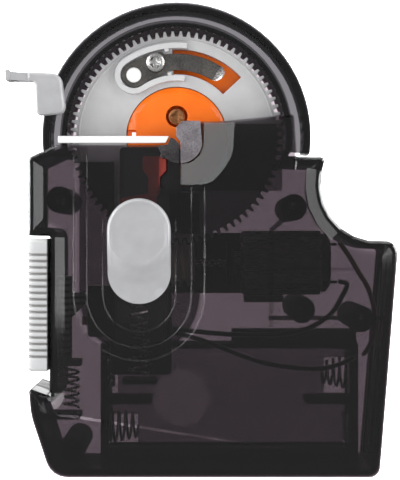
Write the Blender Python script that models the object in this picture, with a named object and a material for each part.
"""Hand-held electric line wrapper for tying fishing hooks, as an assembly of separate pieces.

The front of the device faces -Y, +X is to its right and +Z is up. The base stands on Z = 0.
All dimensions below are in millimetres. MM turns them into Blender's metres.
"""

import math

import bpy
import bmesh
from mathutils import Matrix, Vector

MM = 0.001

# Casing
FRONT_Y = -15.0
BACK_Y = 18.5
SEAM_Y = 0.15
WALL = 1.8
FACE_WALL = 2.0
EDGE = 1.6
GAP = 0.3
SHELF_Z = 69.8
SHOULDER_Z = 67.3
NOTCH_X = -32.0
NOTCH_LOW, NOTCH_HIGH = 17.2, 50.7

# Gear, hub and guard, all round one axis
GEAR_X, GEAR_Z = -5.35, 71.6
GEAR_Y = -7.0
GEAR_THICK = 2.5
TEETH = 82
MODULE = 0.537
PITCH_R = TEETH * MODULE / 2
BORE_R = 10.74
LEAF_R = 15.94
LEAF_HALF = 1.75
PIVOT_ANGLE = 124.6
GUARD_IN, GUARD_OUT = 22.95, 28.2
GUARD_Y = -12.6
GUARD_STEPS = 40
RIM = 1.45
DRUM_R = GUARD_IN + RIM
DRUM_BACK = 8.0

# Worm drive
LEAD = math.pi * MODULE
WORM_R = 4.55
WORM_Z = GEAR_Z - PITCH_R - WORM_R
WORM_LENGTH = 7.6
SHAFT_R = 0.75
BORE_CLEAR = 0.3
CAN_X0, CAN_X1 = 8.2, 25.05
CAN_R, CAN_FLAT = 6.8, 5.25

# Slider track and thumb button
TRACK_X, TRACK_Z = -13.1, 38.3
TRACK_HALVES = (13.4, 10.7, 7.4)
TRACK_FLOORS = (-14.6, -14.2, -13.9)
RAIL_R = 13.0
BUTTON_TOP = -18.5
BUTTON_R = 6.6
BUTTON_LOW, BUTTON_HIGH = 36.5, 58.5
BUTTON_TRAVEL = 5.0
JAW_X, JAW_Z, JAW_R = -4.6, 70.5, 4.7

# Side trigger
TRIGGER_LOW, TRIGGER_HIGH = 22.3, 50.2
RIB_COUNT, RIB_PITCH, RIB_FIRST = 17, 1.33, 25.5
TRIGGER_SPRING_X, TRIGGER_SPRING_Y = -28.1, -2.2

# Thread lever
LEVER_X, LEVER_Z = -30.6, 79.6

# Battery bay: two AAA cells lying along X
BAY_X0, BAY_X1 = -20.9, 32.9
BAY_Z0, BAY_Z1 = 3.3, 26.1
BAY_Y0, BAY_Y1 = 3.9, 14.7
TRAY_WALL = 1.2
CELL_Y = 9.2
CELL_LOW_Z, CELL_HIGH_Z = 8.6, 20.6
DOOR_AXIS_Y, DOOR_AXIS_Z = 17.6, 4.6

# Casing screws, as (x, z) from the front
POSTS = ((-29.9, 58.3), (19.2, 56.7), (20.9, 35.2), (33.3, 33.3), (-27.4, 5.8))
POST_R = 2.8
SCREW_R, SCREW_HOLE_R = 1.0, 1.3

# Outline of the casing below its top, counter-clockwise from the front: (x, z, corner radius)
CASE_SIDES = [
    (-35.9, 13.0, 9.0),
    (-31.6, 0.0, 4.6),
    (37.2, 0.0, 2.2),
    (37.7, 5.6, 4.0),
    (41.3, 50.1, 2.6),
    (21.4, 47.6, 11.9),
]
CASE_NOTCH = [
    (-36.5, 67.1, 1.0),
    (-36.5, NOTCH_HIGH, 0.3),
    (NOTCH_X, NOTCH_HIGH, 0.3),
    (NOTCH_X, NOTCH_LOW, 0.5),
    (-36.4, 18.8, 0.5),
]
REAR_OUTLINE = CASE_SIDES + [(25.9, SHOULDER_Z, 0.8), (-30.7, SHELF_Z, 1.0)] + CASE_NOTCH
# The wide chamfer of the front face narrows on the edges round the gear.
NARROW = 0.22
FRONT_OUTLINE = (
    CASE_SIDES
    + [
        (25.9, SHOULDER_Z, 0.8),
        (19.9, SHOULDER_Z, 0.3),
        (19.3, 76.3, 0.8),
        (3.4, 74.7, 1.0),
        (-4.4, 74.7, 0.3),
        (-4.4, SHELF_Z, 0.3),
        (-30.7, SHELF_Z, 1.0),
    ]
    + CASE_NOTCH
)


TOP_EDGES = range(len(CASE_SIDES) + 1, len(CASE_SIDES) + 6)
CHAMFER_SHARES = [NARROW if i in TOP_EDGES else 1.0 for i in range(len(FRONT_OUTLINE))]
# The front rim from its inner line outwards, as (inset, distance behind the face)
FRONT_RIM = ((3.4, 0.0), (1.3, 0.95), (1.3, 1.25), (0.6, 1.35), (0.17, 1.8), (0.0, 2.5))


def arc(x, z, radius, start, end, steps):
    """Points on an arc in the front view, angles in degrees, counter-clockwise when end > start."""
    turns = [math.radians(start + (end - start) * i / steps) for i in range(steps + 1)]
    return [(x + radius * math.cos(a), z + radius * math.sin(a)) for a in turns]


def rounded(corners, inset=0.0, shares=None):
    """Points of a counter-clockwise outline of (x, z, radius) corners, moved inwards by inset.

    shares gives the part of the inset that each edge takes, where edge i starts at corner i.
    """
    points = []
    shares = shares or [1.0] * len(corners)
    for i, (x, z, radius) in enumerate(corners):
        before = Vector(corners[i - 1][:2])
        here = Vector((x, z))
        after = Vector(corners[(i + 1) % len(corners)][:2])
        way_in = (here - before).normalized()
        way_out = (after - here).normalized()
        inward_in = Vector((-way_in.y, way_in.x))
        inward_out = Vector((-way_out.y, way_out.x))
        turn = math.atan2(way_in.x * way_out.y - way_in.y * way_out.x, way_in.dot(way_out))
        cross = inward_in.x * inward_out.y - inward_in.y * inward_out.x
        move_in, move_out = inset * shares[i - 1], inset * shares[i]
        corner = here + Vector((
            (move_in * inward_out.y - move_out * inward_in.y) / cross,
            (move_out * inward_in.x - move_in * inward_out.x) / cross,
        ))
        side = 1 if turn > 0 else -1
        if radius:
            radius = max(radius - side * inset * min(shares[i - 1], shares[i]), 0.1)
        reach = radius * math.tan(abs(turn) / 2)
        start = corner - way_in * reach
        centre = start + inward_in * radius * side
        steps = max(1, math.ceil(abs(math.degrees(turn)) / 18)) if radius else 0
        for step in range(steps + 1):
            spun = Matrix.Rotation(turn * step / max(steps, 1), 2) @ (start - centre)
            points.append(tuple(centre + spun))
    return points


def stadium(x, low, high, radius, steps=8):
    """Upright slot shape with round ends."""
    top = arc(x, high - radius, radius, 0, 180, steps)
    return top + arc(x, low + radius, radius, 180, 360, steps)


def flat(points, y):
    return [(x, y, z) for x, z in points]


def paint(obj, colour, roughness, metallic=0.0, alpha=1.0):
    material = bpy.data.materials.new(obj.name)
    material.use_nodes = True
    shader = material.node_tree.nodes["Principled BSDF"]
    shader.inputs["Base Color"].default_value = (*colour, 1.0)
    shader.inputs["Roughness"].default_value = roughness
    shader.inputs["Metallic"].default_value = metallic
    shader.inputs["Alpha"].default_value = alpha
    obj.data.materials.append(material)
    return obj


def skin(name, rings, closed=False, origin=(0, 0, 0)):
    """One solid through equal rings of (x, y, z) points. A closed run joins its last ring to its first."""
    mesh = bpy.data.meshes.new(name)
    shape = bmesh.new()
    rows = [[shape.verts.new((Vector(p) - Vector(origin)) * MM) for p in ring] for ring in rings]
    count = len(rows[0])
    pairs = list(zip(rows, rows[1:] + rows[:1] if closed else rows[1:]))
    for low, high in pairs:
        for i in range(count):
            j = (i + 1) % count
            shape.faces.new((low[i], low[j], high[j], high[i]))
    if not closed:
        shape.faces.new(rows[0])
        shape.faces.new(rows[-1])
    bmesh.ops.recalc_face_normals(shape, faces=shape.faces)
    shape.to_mesh(mesh)
    shape.free()
    mesh.shade_smooth()
    mesh.set_sharp_from_angle(angle=math.radians(35))
    obj = bpy.data.objects.new(name, mesh)
    obj.location = Vector(origin) * MM
    bpy.context.scene.collection.objects.link(obj)
    return obj


def plate(name, points, front, back, origin=(0, 0, 0)):
    """An outline in the front view, made solid from front to back."""
    return skin(name, [flat(points, front), flat(points, back)], origin=origin)


def block(name, low, high, origin=(0, 0, 0)):
    x0, y0, z0 = low
    x1, y1, z1 = high
    return plate(name, [(x0, z0), (x1, z0), (x1, z1), (x0, z1)], y0, y1, origin)


def turned(name, profile, centre, axis="Y", steps=24, closed=False):
    """A turned solid: profile is (radius, place along the axis), centre the two other coordinates."""
    rings = []
    for radius, along in profile:
        ring = []
        for i in range(steps):
            a = 2 * math.pi * i / steps
            u = centre[0] + radius * math.cos(a)
            v = centre[1] + radius * math.sin(a)
            ring.append((u, along, v) if axis == "Y" else (along, u, v))
        rings.append(ring)
    return skin(name, rings, closed)


def helper(obj):
    obj.hide_render = True
    obj.display_type = "WIRE"
    return obj


def combine(obj, other, operation):
    modifier = obj.modifiers.new(other.name, "BOOLEAN")
    modifier.operation = operation
    modifier.solver = "EXACT"
    modifier.object = helper(other)


def cut(obj, *others):
    for other in others:
        combine(obj, other, "DIFFERENCE")


def join(obj, *others):
    for other in others:
        combine(obj, other, "UNION")


def tube(name, points, radius, sides=1, origin=(0, 0, 0)):
    """A round wire along the points, with flat ends."""
    curve = bpy.data.curves.new(name, "CURVE")
    curve.dimensions = "3D"
    curve.bevel_depth = radius * MM
    curve.bevel_resolution = sides
    curve.use_fill_caps = True
    spline = curve.splines.new("POLY")
    spline.points.add(len(points) - 1)
    for point, place in zip(spline.points, points):
        point.co = (*((Vector(place) - Vector(origin)) * MM), 1)
    spline.use_smooth = True
    obj = bpy.data.objects.new(name, curve)
    obj.location = Vector(origin) * MM
    bpy.context.scene.collection.objects.link(obj)
    return obj


def smooth_route(places, per_span=4):
    """Points of a smooth curve through the places (Catmull-Rom)."""
    ends = [Vector(places[0])] + [Vector(p) for p in places] + [Vector(places[-1])]
    route = []
    for a, b, c, d in zip(ends, ends[1:], ends[2:], ends[3:]):
        for i in range(per_span):
            t = i / per_span
            bend = (2 * a - 5 * b + 4 * c - d) * t * t + (3 * b - a - 3 * c + d) * t * t * t
            route.append((2 * b + (c - a) * t + bend) / 2)
    return route + [ends[-1]]


def coil(centre, start, end, radius_start, radius_end, turns, axis, per_turn=10):
    """Points of a helix along X or Z, between two places on its axis."""
    points = []
    count = int(turns * per_turn)
    for i in range(count + 1):
        t = i / count
        radius = radius_start + (radius_end - radius_start) * t
        a = 2 * math.pi * turns * t
        along = start + (end - start) * t
        u = centre[0] + radius * math.cos(a)
        v = centre[1] + radius * math.sin(a)
        points.append((u, v, along) if axis == "Z" else (along, u, v))
    return points


def cross_recess(obj, x, z, front, depth, size):
    """A cross-head driver recess in a screw that faces -Y for depth > 0, or +Y for depth < 0."""
    thick = size / 3
    for name, wide, tall in (("slot_a", size, thick), ("slot_b", thick, size)):
        near, far = sorted((front - depth * 0.5, front + depth))
        box = block(obj.name + "_" + name, (x - wide, near, z - tall), (x + wide, far, z + tall))
        cut(obj, box)


def edge_rings(outline, front, back, radius, steps=3):
    """Rings of a slab whose front rim is a quarter round, from the rim's inner line to the back."""
    rings = []
    for i in range(steps + 1):
        a = math.pi / 2 * i / steps
        inset = radius * (1 - math.sin(a))
        rings.append(flat(rounded(outline, inset), front + radius * (1 - math.cos(a))))
    rings.append(flat(rounded(outline), back))
    return rings


def tongue_slot(name):
    """Opening for the trigger's tongue in the notch wall, across the seam."""
    return block(name, (-33.0, -2.9, 25.2), (-29.5, 2.9, 42.4))


def make_front_shell():
    rings = []
    for inset, behind in FRONT_RIM:
        rings.append(flat(rounded(FRONT_OUTLINE, inset, CHAMFER_SHARES), FRONT_Y + behind))
    rings.append(flat(rounded(FRONT_OUTLINE), -SEAM_Y))
    shell = skin("front_shell", rings)
    inner = FRONT_Y + FACE_WALL
    cut(shell, plate("front_cavity", rounded(FRONT_OUTLINE, WALL), inner, 1.0))
    clear = arc(GEAR_X, GEAR_Z, GUARD_OUT + GAP, -8.4, 188.4, 24)
    cut(shell, plate("guard_room", clear, GUARD_Y - GAP, 1.0))
    for i, (half, floor) in enumerate(zip(TRACK_HALVES, TRACK_FLOORS)):
        top = 80.0 if i < 2 else 60.6
        bottom = arc(TRACK_X, TRACK_Z, half, 180, 360, 16)
        sides = [(TRACK_X + half, top), (TRACK_X - half, top)]
        if i == 2:
            sides = arc(TRACK_X, top - half, half, 0, 180, 12)
        cut(shell, plate(f"track_{i}", bottom + sides, FRONT_Y - 1, floor))
    neck = [(-16.4, 58.0), (-8.6, 58.0), (-8.6, 80.0), (-16.4, 80.0)]
    cut(shell, plate("track_neck", neck, FRONT_Y - 1, TRACK_FLOORS[2]))
    stem_slot = stadium(TRACK_X, BUTTON_LOW + 1.2, BUTTON_LOW + 16.4, 2.4)
    cut(shell, plate("stem_slot", stem_slot, FRONT_Y - 2, inner + 1))
    pin_slot = stadium(-8.1, 60.7, 68.3, 0.9)
    cut(shell, plate("pin_slot", pin_slot, FRONT_Y - 2, inner + 1))
    pocket = arc(JAW_X, JAW_Z, JAW_R + GAP, 270, 360, 8)
    pocket += [(JAW_X + JAW_R + GAP, 80.0), (-9.7, 80.0), (-9.7, 60.6), (JAW_X, 60.6)]
    cut(shell, plate("jaw_pocket", pocket, FRONT_Y - 1, TRACK_FLOORS[2]))
    # The scoop beside the jaws slopes from deep at the jaws to shallow at its curved rim.
    rim = [(-4.5, 61.4, 0), (2.2, 61.4, 5.0), (6.4, 67.5, 6.0), (7.3, 80.0, 0), (-4.5, 80.0, 0)]
    near = rounded(rim)
    floor = [(x, -13.9 - 0.13 * max(x + 0.3, -4.4), z) for x, z in near]
    cut(shell, skin("scoop", [flat(near, FRONT_Y - 1), floor]))
    # Guide rails behind the track, and a thicker wall behind the scoop
    low_left = arc(TRACK_X, TRACK_Z, RAIL_R - 0.4, 180, 245, 8)
    low_left += [(low_left[-1][0], 66.2), (low_left[0][0], 66.2)]
    low_right = arc(TRACK_X, TRACK_Z, RAIL_R - 0.4, 295, 360, 8)
    low_right += [(low_right[-1][0], 39.3), (low_right[0][0], 39.3)]
    left, right = TRACK_X - RAIL_R, TRACK_X + RAIL_R
    around = arc(TRACK_X, TRACK_Z, RAIL_R, 180, 360, 16)
    around += [(right, 66.5), (-7.0, 66.5), (-7.0, 32.6), (-17.7, 32.6), (-17.7, 66.5), (left, 66.5)]
    join(shell, plate("rail_web", around, inner - 0.3, -12.7))
    join(shell, plate("rail_left", low_left, -12.9, -10.8), plate("rail_low", low_right, -12.9, -10.8))
    join(shell, block("rail_high", (-6.7, -12.9, 51.2), (right - 0.4, -11.2, 59.6)))
    join(shell, block("scoop_back", (-4.4, inner - 0.2, 60.2), (16.8, -11.4, 74.2)))
    for i, (x, z) in enumerate(POSTS):
        post = turned(f"front_post_{i}", [(POST_R, inner - 0.5), (POST_R, -0.3)], (x, z))
        join(shell, post)
        cut(shell, turned(f"front_hole_{i}", [(SCREW_HOLE_R, -9.5), (SCREW_HOLE_R, 1)], (x, z), steps=16))
    spring_seat = block("spring_seat", (-34.8, inner - 0.5, 12.2), (-25.8, -0.4, 13.2))
    slider_seat = block("slider_seat", (-16.6, inner - 0.5, 19.6), (-9.6, -6.5, 20.8))
    bay_rib = block("bay_rib", (14.0, inner - 0.5, 33.1), (39.4, -10.5, 33.9))
    motor_rib = block("motor_rib", (14.0, inner - 0.5, 31.6), (14.9, -12.6, 51.9))
    lead_rib = block("lead_rib", (14.4, inner - 0.5, 43.5), (32.0, -12.6, 44.1))
    strut = [(14.2, 51.0), (19.4, 55.6), (18.8, 56.6), (14.2, 52.2)]
    join(shell, spring_seat, slider_seat, bay_rib, motor_rib, lead_rib)
    join(shell, plate("post_strut", strut, inner - 0.5, -11.0))
    cut(shell, tongue_slot("front_tongue_slot"))
    return paint(shell, (0.03, 0.028, 0.032), 0.2, alpha=0.6)


def make_rear_shell():
    rings = [[(x, -y, z) for x, y, z in ring] for ring in edge_rings(REAR_OUTLINE, -BACK_Y, -SEAM_Y, EDGE)]
    shell = skin("rear_shell", rings)
    disc = arc(GEAR_X, GEAR_Z, DRUM_R, 0, 354, 59)
    small = arc(GEAR_X, GEAR_Z, DRUM_R - 1.2, 0, 354, 59)
    drum_rings = [flat(disc, SEAM_Y), flat(disc, DRUM_BACK - 1.2), flat(small, DRUM_BACK)]
    join(shell, skin("drum", drum_rings))
    cut(shell, plate("rear_cavity", rounded(REAR_OUTLINE, WALL), -1.0, BACK_Y - WALL))
    room = arc(GEAR_X, GEAR_Z, DRUM_R - RIM, 0, 352, 44)
    cut(shell, plate("drum_cavity", room, -1.0, DRUM_BACK - WALL))
    for i, (x, z) in enumerate(POSTS):
        join(shell, turned(f"rear_post_{i}", [(POST_R, 0.3), (POST_R, BACK_Y - 1)], (x, z)))
        bore = [(SCREW_HOLE_R, -1), (SCREW_HOLE_R, 12.7), (2.2, 12.7), (2.2, BACK_Y + 1)]
        cut(shell, turned(f"rear_hole_{i}", bore, (x, z), steps=16))
    join(shell, block("switch_post", (-23.5, 1.9, 33.0), (-19.5, BACK_Y - 1, 37.0)))
    hub_z = GEAR_Z + 4.4
    join(shell, turned("hub_post", [(3.2, -0.45), (3.2, DRUM_BACK - 1)], (GEAR_X, hub_z)))
    cut(shell, turned("hub_post_hole", [(SCREW_HOLE_R, -1), (SCREW_HOLE_R, 5)], (GEAR_X, hub_z), steps=16))
    door = block("door_opening", (-21.0, BACK_Y - 3, 3.4), (33.0, BACK_Y + 1, 26.0))
    hinge = turned(
        "hinge_groove", [(1.1, -22.0), (1.1, 34.0)], (DOOR_AXIS_Y, DOOR_AXIS_Z), axis="X", steps=16
    )
    cut(shell, door, hinge, tongue_slot("rear_tongue_slot"))
    return paint(shell, (0.03, 0.028, 0.032), 0.2, alpha=0.6)


def make_gear_guard():
    """An arched channel: two raised rims with a recessed band, open at the back."""
    section = [
        (GUARD_IN, GUARD_Y), (DRUM_R, GUARD_Y), (DRUM_R, GUARD_Y + 1.2),
        (GUARD_OUT - 1.55, GUARD_Y + 1.2), (GUARD_OUT - 1.55, GUARD_Y), (GUARD_OUT, GUARD_Y),
        (GUARD_OUT, -SEAM_Y), (GUARD_OUT - 1.55, -SEAM_Y), (GUARD_OUT - 1.55, GUARD_Y + 3.95),
        (DRUM_R, GUARD_Y + 3.95), (DRUM_R, -SEAM_Y), (GUARD_IN, -SEAM_Y),
    ]
    rings = []
    for i in range(GUARD_STEPS + 1):
        a = math.radians(-7.5 + 195 * i / GUARD_STEPS)
        cos, sin = math.cos(a), math.sin(a)
        rings.append([(GEAR_X + r * cos, y, GEAR_Z + r * sin) for r, y in section])
    guard = skin("gear_guard", rings)
    cut(guard, turned("lever_pin_hole", [(1.2, -14), (1.2, -9)], (LEVER_X, LEVER_Z), steps=16))
    return paint(guard, (0.01, 0.01, 0.011), 0.25)


def make_wrap_gear():
    pitch = 360 / TEETH
    tip, root = PITCH_R + MODULE, PITCH_R - 1.25 * MODULE
    outline = []
    for i in range(TEETH):
        # A tooth space, not a tooth, points straight down into the worm.
        middle = -90 + (i + 0.5) * pitch
        for radius, offset in ((root, -0.29), (tip, -0.13), (tip, 0.13), (root, 0.29)):
            a = math.radians(middle + offset * pitch)
            outline.append((GEAR_X + radius * math.cos(a), GEAR_Z + radius * math.sin(a)))
    face = GEAR_Y - GEAR_THICK / 2
    axis = (GEAR_X, GEAR_Y, GEAR_Z)
    gear = plate("wrap_gear", outline, face, face + GEAR_THICK, axis)
    cut(gear, turned("gear_bore", [(BORE_R, -20), (BORE_R, 0)], (GEAR_X, GEAR_Z), steps=48))
    slot = arc(GEAR_X, GEAR_Z, 18.7, 43, 93, 12) + arc(GEAR_X, GEAR_Z, 13.4, 93, 43, 12)
    cut(gear, plate("gear_slot", slot, -20, 0))
    # The raised wall is a hairpin round the clip's pivot, open at the clip's tip.
    px, pz = on_gear(LEAF_R, PIVOT_ANGLE)
    outer, inner = 4.05, 2.85
    wall = arc(GEAR_X, GEAR_Z, LEAF_R + outer, 83.5, PIVOT_ANGLE, 10)
    wall += arc(px, pz, outer, PIVOT_ANGLE, PIVOT_ANGLE + 180, 10)[1:]
    wall += arc(GEAR_X, GEAR_Z, LEAF_R - outer, PIVOT_ANGLE, 82, 10)[1:]
    wall += arc(GEAR_X, GEAR_Z, LEAF_R - inner, 82, PIVOT_ANGLE, 10)
    wall += arc(px, pz, inner, PIVOT_ANGLE + 180, PIVOT_ANGLE, 10)[1:]
    wall += arc(GEAR_X, GEAR_Z, LEAF_R + inner, PIVOT_ANGLE, 83.5, 10)[1:]
    join(gear, plate("clip_wall", wall, face - 1.9, face + 0.5))
    return paint(gear, (0.54, 0.54, 0.54), 0.4)


def on_gear(radius, angle):
    a = math.radians(angle)
    return GEAR_X + radius * math.cos(a), GEAR_Z + radius * math.sin(a)


def make_line_clip():
    axis = (GEAR_X, GEAR_Y, GEAR_Z)
    face = GEAR_Y - GEAR_THICK / 2
    px, pz = on_gear(LEAF_R, PIVOT_ANGLE)
    sx, sz = on_gear(16.4, 105.9)
    leaf = arc(GEAR_X, GEAR_Z, LEAF_R + LEAF_HALF, 52, PIVOT_ANGLE - 5, 14)
    leaf += arc(px, pz, 2.4, PIVOT_ANGLE - 40, PIVOT_ANGLE + 220, 12)
    leaf += arc(GEAR_X, GEAR_Z, LEAF_R - LEAF_HALF, PIVOT_ANGLE - 5, 52, 14)
    strip = plate("line_clip_leaf", leaf, face - 0.85, face - 0.35, axis)
    # The tip turns up towards the front so that line slides under it.
    lip = []
    for angle in (50.0, 56.0):
        rise = 1.3 if angle < 53 else 0.0
        (x0, z0), (x1, z1) = on_gear(LEAF_R - LEAF_HALF, angle), on_gear(LEAF_R + LEAF_HALF, angle)
        top, bottom = face - 0.85 - rise, face - 0.36 - rise
        lip.append([(x0, top, z0), (x1, top, z1), (x1, bottom, z1), (x0, bottom, z0)])
    join(strip, skin("clip_lip", lip))
    cut(strip, turned("pin_hole", [(1.05, -20), (1.05, 0)], (px, pz), steps=16))
    cut(strip, turned("screw_hole", [(1.1, -20), (1.1, 0)], (sx, sz), steps=16))
    paint(strip, (0.6, 0.6, 0.58), 0.25, 1.0)
    pin_shape = [(1.35, face - 1.55), (1.6, face - 1.3), (1.6, face - 1.15), (0.75, face - 1.15), (0.75, face - 0.3)]
    pin = turned("clip_pin", pin_shape, (px, pz), steps=20)
    paint(pin, (0.8, 0.8, 0.8), 0.4)
    head = [
        (1.3, face - 2.05), (1.9, face - 1.85), (2.1, face - 1.5), (2.1, face - 1.15),
        (0.8, face - 1.15), (0.8, face - 0.3),
    ]
    screw = turned("clip_screw", head, (sx, sz), steps=24)
    cross_recess(screw, sx, sz, face - 2.05, 0.7, 1.1)
    paint(screw, (0.7, 0.7, 0.68), 0.25, 1.0)


def make_hub():
    back = GEAR_Y + GEAR_THICK / 2 + GAP
    profile = [
        (9.6, -8.9), (10.6, -8.3), (10.6, back), (19.4, back),
        (19.4, back + 1.1), (9.0, back + 1.1), (9.0, -0.75),
    ]
    hub = turned("orange_hub", profile, (GEAR_X, GEAR_Z), steps=48)
    x, z = GEAR_X, GEAR_Z + 4.4
    hole = [(2.3, -10), (2.3, -6.6), (SCREW_HOLE_R, -6.6), (SCREW_HOLE_R, 0)]
    cut(hub, turned("hub_screw_hole", hole, (x, z), steps=20))
    cut(hub, block("hub_notch", (GEAR_X - 11.5, -10, GEAR_Z), (GEAR_X - 8.6, -7.6, GEAR_Z + 1.5)))
    paint(hub, (1.0, 0.22, 0.01), 0.35)
    head = [(1.7, -8.2), (1.95, -7.9), (1.95, -6.9), (SCREW_R, -6.9), (SCREW_R, 3.0)]
    screw = turned("hub_screw", head, (x, z), steps=20)
    cross_recess(screw, x, z, -8.2, 0.7, 1.1)
    paint(screw, (0.3, 0.15, 0.08), 0.35, 1.0)


def make_jaws():
    top, back = -15.2, -14.2
    split = JAW_X + 0.12
    outline = arc(JAW_X, JAW_Z, JAW_R, 272, 350, 10)
    outline += [(-0.4, 74.65), (-3.96, 74.65), (-5.36, 73.4), (-5.36, 71.3), (split, 70.3)]
    fixed = plate("right_jaw", outline, top, back)
    paint(fixed, (0.25, 0.24, 0.25), 0.4, 1.0)
    edge = split - GAP
    moving = arc(JAW_X, JAW_Z, JAW_R, 192, 267, 10)
    moving += [(edge, 70.0), (-5.75, 70.9), (-6.55, 71.2), (-7.2, 69.7)]
    jaw = plate("left_jaw", moving, top, back)
    rivet = turned("jaw_rivet", [(0.6, top + 0.2), (0.6, -13.0)], (-8.1, 67.4), steps=12)
    join(jaw, rivet)
    paint(jaw, (0.08, 0.08, 0.08), 0.45, 1.0)


def make_thumb_slider():
    outline = stadium(TRACK_X, BUTTON_LOW, BUTTON_HIGH, BUTTON_R, 14)
    rings = []
    for y, inset in ((BUTTON_TOP, 1.6), (BUTTON_TOP + 0.3, 0.7), (BUTTON_TOP + 1.0, 0.15), (-14.2, 0.0)):
        rings.append(flat(stadium(TRACK_X, BUTTON_LOW + inset, BUTTON_HIGH - inset, BUTTON_R - inset, 14), y))
    button = skin("thumb_button", rings)
    stem = stadium(TRACK_X, BUTTON_LOW + 6.6, BUTTON_LOW + 16.0, 2.0)
    join(button, plate("button_stem", stem, -15, -13.0))
    paint(button, (0.6, 0.6, 0.6), 0.35)
    front, back = -12.7, -11.5
    half_head, middle = 2.5, -9.95
    corners = [
        (-17.2, 38.0, 0.8), (-9.5, 38.0, 0.8), (-9.5, 58.8, 0.3), (-8.86, 59.6, 0.3),
        (-8.86, 63.0, 0.5), (middle + half_head, 64.4, 0.5), (middle + half_head, 67.4, 0.4),
        (middle - half_head, 67.4, 0.4), (middle - half_head, 64.4, 0.5), (-11.3, 63.0, 0.5),
        (-11.3, 59.6, 0.3), (-17.2, 58.6, 0.8),
    ]
    slider = plate("jaw_slider", rounded(corners), front, back)
    paint(slider, (0.45, 0.02, 0.01), 0.4)
    spring = tube("slider_spring", coil((TRACK_X, -10.0), 21.4, 37.4, 2.2, 2.2, 7, "Z", 8), 0.3)
    paint(spring, (0.6, 0.6, 0.58), 0.3, 1.0)


def make_guide_bar():
    bar = [(-30.0, 70.1), (-7.6, 70.1), (-6.9, 71.5), (-30.0, 71.5)]
    guide = plate("line_guide_bar", bar, FRONT_Y, FRONT_Y + FACE_WALL)
    join(guide, block("guide_nub", (-14.6, -14.6, 71.2), (-13.8, -13.4, 72.3)))
    paint(guide, (0.8, 0.8, 0.8), 0.4)


def make_trigger():
    """A ribbed bar down the side. Each groove is a ring drawn in from the front and the outer side."""
    outer, inner, front, back = -36.7, NOTCH_X - 0.35, -14.8, 16.6
    rings = []

    def ring(z, inset):
        left, near, far = outer + inset, front + inset, back - inset
        loop = [(left, near + 1.6), (left + 0.5, near + 0.5), (left + 1.6, near), (inner, near)]
        loop += [(inner, far), (left + 1.6, far), (left, far - 1.6)]
        rings.append([(x, y, z) for x, y in loop])

    ring(TRIGGER_LOW, 0.7)
    ring(TRIGGER_LOW + 0.7, 0.0)
    for i in range(RIB_COUNT):
        z = RIB_FIRST + i * RIB_PITCH
        ring(z - 0.38, 0.0)
        ring(z, 0.45)
        ring(z + 0.38, 0.0)
    ring(TRIGGER_HIGH - 0.7, 0.0)
    ring(TRIGGER_HIGH, 0.7)
    trigger = skin("side_trigger", rings)
    tongue = block("trigger_tongue", (-33.0, -2.6, 29.0), (-29.0, 2.6, 42.0))
    flange = block("trigger_flange", (-29.9, -4.4, 22.8), (-28.4, 4.4, 42.0))
    foot = block("trigger_foot", (-29.9, -4.4, 22.8), (-26.0, 2.0, 24.2))
    # The cam on the flange pushes the switch plunger in as the trigger comes down.
    cam = [(-28.6, 32.6), (-25.2, 36.0), (-25.2, 38.5), (-28.6, 38.5)]
    join(trigger, tongue, flange, foot, plate("trigger_cam", cam, -1.8, 0.8))
    paint(trigger, (0.72, 0.72, 0.72), 0.4)
    route = coil((TRIGGER_SPRING_X, TRIGGER_SPRING_Y), 13.8, 22.2, 1.6, 1.6, 5.5, "Z", 8)
    paint(tube("trigger_spring", route, 0.28), (0.6, 0.6, 0.58), 0.3, 1.0)


def make_thread_lever():
    block_corners = [
        (-34.5, 75.7, 1.0), (-28.9, 76.2, 1.2), (-28.5, 77.6, 1.0), (-29.3, 84.5, 2.2),
        (-36.2, 84.7, 0.0), (-36.2, 82.9, 0.0), (-34.8, 82.8, 0.9),
    ]
    origin = (LEVER_X, -15.0, LEVER_Z)
    rings = []
    for y, inset in ((-17.0, 0.5), (-16.7, 0.12), (-16.2, 0.0), (-13.0, 0.0)):
        rings.append(flat(rounded(block_corners, inset), y))
    lever = skin("thread_lever", rings, origin=origin)
    arm = [(-40.9, 83.0, 0.4), (-33.0, 82.6, 0.0), (-33.0, 84.4, 0.0), (-40.9, 84.9, 0.4)]
    hook = [(-40.9, 83.0, 0.3), (-39.9, 83.0, 0.3), (-39.9, 85.3, 0.3), (-40.9, 85.3, 0.3)]
    join(lever, plate("lever_arm", rounded(arm), -16.4, -13.6), plate("lever_hook", rounded(hook), -16.6, -13.2))
    cut(lever, turned("lever_hole", [(1.25, -16.1), (1.25, -10)], (LEVER_X, LEVER_Z), steps=16))
    paint(lever, (0.34, 0.34, 0.34), 0.45)
    pin = turned("lever_pin", [(0.9, -15.8), (0.9, -10.2)], (LEVER_X, LEVER_Z), steps=16)
    paint(pin, (0.3, 0.3, 0.3), 0.35, 1.0)


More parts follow.
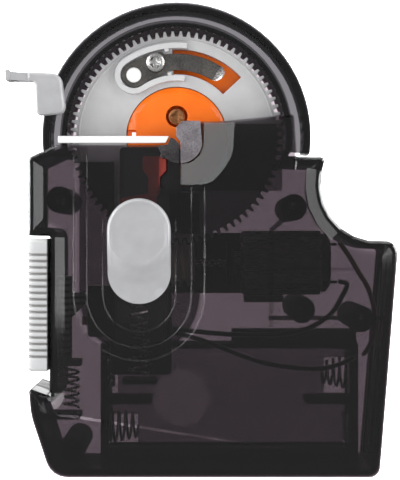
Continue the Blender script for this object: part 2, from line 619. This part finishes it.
def make_worm():
    columns, rows = 14, 37
    rings = []
    for row in range(rows):
        x = GEAR_X - WORM_LENGTH / 2 + WORM_LENGTH * row / (rows - 1)
        ring = []
        for column in range(columns):
            a = 2 * math.pi * column / columns
            # The crest is at the top (a = 90 degrees) in the gear's middle plane.
            turn = (x - GEAR_X) / LEAD - (a - math.pi / 2) / (2 * math.pi)
            off = abs(turn - round(turn))
            radius = WORM_R + 0.5 - 1.15 * min(max((off - 0.10) / 0.14, 0), 1)
            ring.append((x, GEAR_Y + radius * math.cos(a), WORM_Z + radius * math.sin(a)))
        rings.append(ring)
    bore = SHAFT_R + BORE_CLEAR
    for x in (GEAR_X + WORM_LENGTH / 2, GEAR_X - WORM_LENGTH / 2):
        turns = [2 * math.pi * i / columns for i in range(columns)]
        rings.append([(x, GEAR_Y + bore * math.cos(a), WORM_Z + bore * math.sin(a)) for a in turns])
    worm = skin("worm", rings, closed=True, origin=(GEAR_X, GEAR_Y, WORM_Z))
    paint(worm, (0.75, 0.72, 0.62), 0.4)
    axis = (GEAR_Y, WORM_Z)
    shaft = turned("motor_shaft", [(SHAFT_R, -12.6), (SHAFT_R, 9.6)], axis, "X", 16)
    paint(shaft, (0.5, 0.5, 0.5), 0.25, 1.0)
    ring = [(SHAFT_R + 0.1, -12.3), (2.0, -12.3), (2.0, -10.1), (SHAFT_R + 0.1, -10.1)]
    bush = turned("shaft_bush", ring, axis, "X", 24, closed=True)
    paint(bush, (0.6, 0.42, 0.15), 0.35, 1.0)


def double_d(radius, half_flat, x):
    """A circle with flats in front and behind, as one ring across X."""
    spread = math.asin(half_flat / radius)
    ring = []
    for middle in (math.pi / 2, -math.pi / 2):
        for i in range(11):
            a = middle - spread + 2 * spread * i / 10
            ring.append((x, GEAR_Y + radius * math.cos(a), WORM_Z + radius * math.sin(a)))
    return ring


def make_motor():
    axis = (GEAR_Y, WORM_Z)
    rings = [double_d(CAN_R - 0.5, CAN_FLAT - 0.5, CAN_X0), double_d(CAN_R, CAN_FLAT, CAN_X0 + 0.5)]
    rings.append(double_d(CAN_R, CAN_FLAT, CAN_X1))
    can = skin("motor_can", rings)
    join(can, turned("motor_nose", [(2.45, CAN_X0 - 1.4), (2.45, CAN_X0 + 1)], axis, "X", 20))
    cut(can, turned("motor_bore", [(1.05, CAN_X0 - 3), (1.05, 10.5)], axis, "X", 16))
    paint(can, (0.5, 0.5, 0.5), 0.3, 1.0)
    cap = skin("motor_end_cap", [double_d(CAN_R - 0.6, CAN_FLAT - 0.4, CAN_X1 + GAP),
                                 double_d(CAN_R - 0.6, CAN_FLAT - 0.4, CAN_X1 + 1.2),
                                 double_d(4.8, 4.4, CAN_X1 + 2.1)])
    for name, z in (("terminal_top", WORM_Z + 3.6), ("terminal_low", WORM_Z - 4.4)):
        join(cap, block(name, (CAN_X1 + 1.0, GEAR_Y - 0.8, z), (CAN_X1 + 3.6, GEAR_Y + 0.8, z + 0.6)))
    paint(cap, (0.03, 0.03, 0.03), 0.5)
    base = -1.45
    cradle = block("motor_cradle", (-12.3, base, 38.4), (24.0, base + 1.3, 51.4))
    bush_arm = block("bush_arm", (-12.1, -10.6, 41.6), (-10.3, base + 0.5, 48.7))
    nose_arm = block("nose_arm", (5.2, -10.6, 40.6), (6.5, base + 0.5, 49.4))
    leg_low = block("cradle_leg_a", (-8.0, base + 0.5, 40.0), (-5.0, BACK_Y - WALL - GAP, 49.0))
    leg_high = block("cradle_leg_b", (17.0, base + 0.5, 41.0), (20.0, BACK_Y - WALL - GAP, 50.0))
    shelf = block("cradle_shelf", (9.0, -6.4, 36.6), (17.4, base + 1.2, 37.9))
    web = block("cradle_web", (9.0, base + 0.1, 36.7), (17.4, base + 1.2, 40.0))
    join(cradle, bush_arm, nose_arm, leg_low, leg_high, web, shelf)
    cut(cradle, turned("bush_hole", [(2.3, -14), (2.3, -9)], axis, "X", 20))
    cut(cradle, turned("nose_hole", [(1.5, 4), (1.5, 7.5)], axis, "X", 20))
    paint(cradle, (0.03, 0.03, 0.03), 0.5)


def make_battery_bay():
    tray = block("battery_tray", (BAY_X0 - TRAY_WALL, BAY_Y0 - 1.4, BAY_Z0 - TRAY_WALL),
                 (BAY_X1 + TRAY_WALL, BAY_Y1, BAY_Z1 + TRAY_WALL))
    cut(tray, block("bay_room", (BAY_X0, BAY_Y0, BAY_Z0), (BAY_X1, BAY_Y1 + 2, BAY_Z1)))
    join(tray, block("top_rail", (6.6, 6.0, BAY_Z1 + 0.4), (34.0, 14.0, 30.1)))
    join(tray, block("divider_left", (BAY_X0 - 0.6, BAY_Y0 - 0.6, 13.9), (-11.1, BAY_Y1, 15.4)))
    join(tray, block("divider_right", (22.7, BAY_Y0 - 0.6, 13.9), (BAY_X1 + 0.6, BAY_Y1, 15.4)))
    windows = {
        "window_coil_low": (-20.3, -13.9, 4.9, 11.9),
        "window_plate_high": (-20.6, -18.3, 16.5, 24.3),
        "window_coil_high": (26.6, 32.3, 16.5, 24.3),
        "window_plate_low": (30.7, 32.6, 4.9, 11.9),
    }
    for name, (x0, x1, z0, z1) in windows.items():
        cut(tray, block(name, (x0, 0, z0), (x1, BAY_Y0 + 0.5, z1)))
    dish = turned("mould_gate_dish", [(6.2, BAY_Y0 - 3), (6.2, BAY_Y0 - 0.9)], (-4.5, 15.5), steps=32)
    cut(tray, dish)
    paint(tray, (0.12, 0.11, 0.12), 0.5)
    metal = (0.65, 0.64, 0.6)
    left, right = BAY_X0 + GAP, BAY_X1 - GAP
    low_coil = coil((CELL_Y, CELL_LOW_Z), left + 0.35, left + 6.4, 3.7, 2.3, 4, "X")
    high_coil = coil((CELL_Y, CELL_HIGH_Z), right - 0.35, right - 6.0, 3.7, 2.3, 4, "X")
    paint(tube("coil_contact_low", low_coil, 0.32), metal, 0.25, 1.0)
    paint(tube("coil_contact_high", high_coil, 0.32), metal, 0.25, 1.0)
    plate_high = block("plate_contact_high", (left, 4.4, 16.2), (left + 0.5, 14.0, 25.6))
    join(plate_high, block("plate_lug_high", (left, 7.0, 17.5), (left + 1.3, 11.4, 23.7)))
    paint(plate_high, metal, 0.25, 1.0)
    plate_low = block("plate_contact_low", (right - 0.5, 4.4, 3.8), (right, 14.0, 13.4))
    join(plate_low, block("plate_lug_low", (right - 1.3, 7.0, 5.5), (right, 11.4, 11.7)))
    paint(plate_low, metal, 0.25, 1.0)
    hinge = (0.0, DOOR_AXIS_Y, DOOR_AXIS_Z)
    corners = [(-20.6, 3.95, 0.5), (32.6, 3.95, 0.5), (32.6, 25.6, 1.0), (-20.6, 25.6, 1.0)]
    door = plate("battery_door", rounded(corners), BACK_Y - WALL, BACK_Y, hinge)
    stub = turned("door_stub", [(0.8, -21.7), (0.8, 33.7)], (DOOR_AXIS_Y, DOOR_AXIS_Z), "X", 16)
    join(door, stub)
    for i in range(4):
        z = 20.4 + i * 1.1
        cut(door, block(f"grip_{i}", (1.0, BACK_Y - 0.4, z), (11.0, BACK_Y + 1, z + 0.5)))
    paint(door, (0.03, 0.028, 0.032), 0.25, alpha=0.7)


def make_switch():
    body = block("switch_body", (-24.6, -3.0, 29.0), (-18.6, 1.6, 40.0))
    cut(body, block("plunger_room", (-26.0, -1.6, 31.2), (-21.1, 0.6, 33.8)))
    paint(body, (0.03, 0.03, 0.03), 0.5)
    plunger = block("switch_plunger", (-25.9, -1.3, 31.5), (-22.4, 0.3, 33.5))
    paint(plunger, (0.6, 0.1, 0.08), 0.5)


def make_wires():
    black, red = (0.02, 0.02, 0.02), (0.1, 0.02, 0.02)
    battery_lead = [(-18.0, -2.4, 33.5), (-10, -2.4, 31.0), (0, -2.4, 28.3), (6.5, -2.2, 25.7),
                    (13.2, -2.0, 23.4), (20, -2.0, 22.3), (25.4, -2.0, 22.1), (29.6, -1.4, 23.0), (33.2, 0.6, 24.4)]
    motor_lead_a = [(29.2, -7.0, 49.4), (31.4, -6.4, 46.3), (33.4, -5.8, 43.0), (35.6, -5.4, 39.3),
                    (37.0, -5.0, 34.0), (36.7, -3.0, 29.0), (36.0, 2.0, 26.0), (35.6, 6.0, 24.8)]
    motor_lead_b = [(29.2, -7.0, 41.0), (31.0, -5.4, 40.4), (30.2, -3.2, 38.0), (27.4, -0.6, 33.4),
                    (20.0, 0.2, 29.8), (6.0, 0.4, 29.4), (-8.0, 0.2, 30.8), (-18.0, -0.4, 31.8)]
    for name, route, colour in (
        ("battery_lead", battery_lead, black),
        ("motor_lead_a", motor_lead_a, red),
        ("motor_lead_b", motor_lead_b, black),
    ):
        paint(tube(name, smooth_route(route, 3), 0.55), colour, 0.5)


def make_case_screws():
    for i, (x, z) in enumerate(POSTS):
        shape = [(SCREW_R, -8.8), (SCREW_R, 13.0), (1.9, 13.0), (1.9, 14.0), (1.5, 14.5)]
        screw = turned(f"case_screw_{i + 1}", shape, (x, z), steps=14)
        cross_recess(screw, x, z, 14.5, -0.8, 1.0)
        paint(screw, (0.35, 0.35, 0.35), 0.3, 1.0)


def main():
    for obj in list(bpy.data.objects):
        bpy.data.objects.remove(obj)
    make_rear_shell()
    make_front_shell()
    make_gear_guard()
    make_wrap_gear()
    make_line_clip()
    make_hub()
    make_jaws()
    make_thumb_slider()
    make_guide_bar()
    make_trigger()
    make_thread_lever()
    make_worm()
    make_motor()
    make_battery_bay()
    make_switch()
    make_wires()
    make_case_screws()


main()
